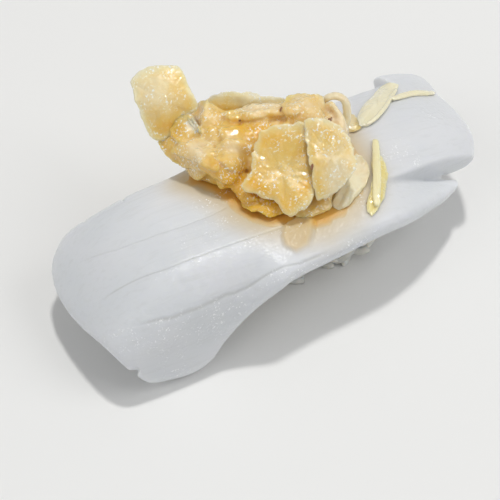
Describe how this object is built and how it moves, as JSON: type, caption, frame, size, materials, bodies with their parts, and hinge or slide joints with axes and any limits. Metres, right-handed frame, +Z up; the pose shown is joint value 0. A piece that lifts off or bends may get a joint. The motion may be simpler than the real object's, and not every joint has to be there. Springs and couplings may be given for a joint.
{
  "type": "squid nigiri sushi",
  "caption": "Squid nigiri: a thick scored slice of white squid draped over pressed rice, with a heap of amber soy-dressed vegetable shavings on it.",
  "frame": {"origin": "middle of the rice's flat underside", "axes": "+X along the slice to its notched end, +Y away from the hanging lobe's side, +Z up"},
  "size_m": [0.0908, 0.0478, 0.0361],
  "materials": {
    "squid": "wet, smooth and milky, a little see-through at the edges",
    "rice": "cooked rice grains, moist satin",
    "relish": "wet, amber and see-through, finely granular",
    "ginger": "wet, pale yellow",
    "pale_shaving": "wet, pale cream, see-through"
  },
  "bodies": {
    "root": {"squid_slice": "squid", "rice": "rice", "relish_heap": "relish", "relish_slice_left": "relish", "relish_slice_right": "relish", "relish_slice_front": "relish", "relish_slice_back": "relish", "relish_arch": "relish", "relish_slice_flat": "relish", "ginger_shred": "ginger", "pale_shred_wide": "pale_shaving", "pale_shred_thin": "pale_shaving"}
  },
  "joints": []
}
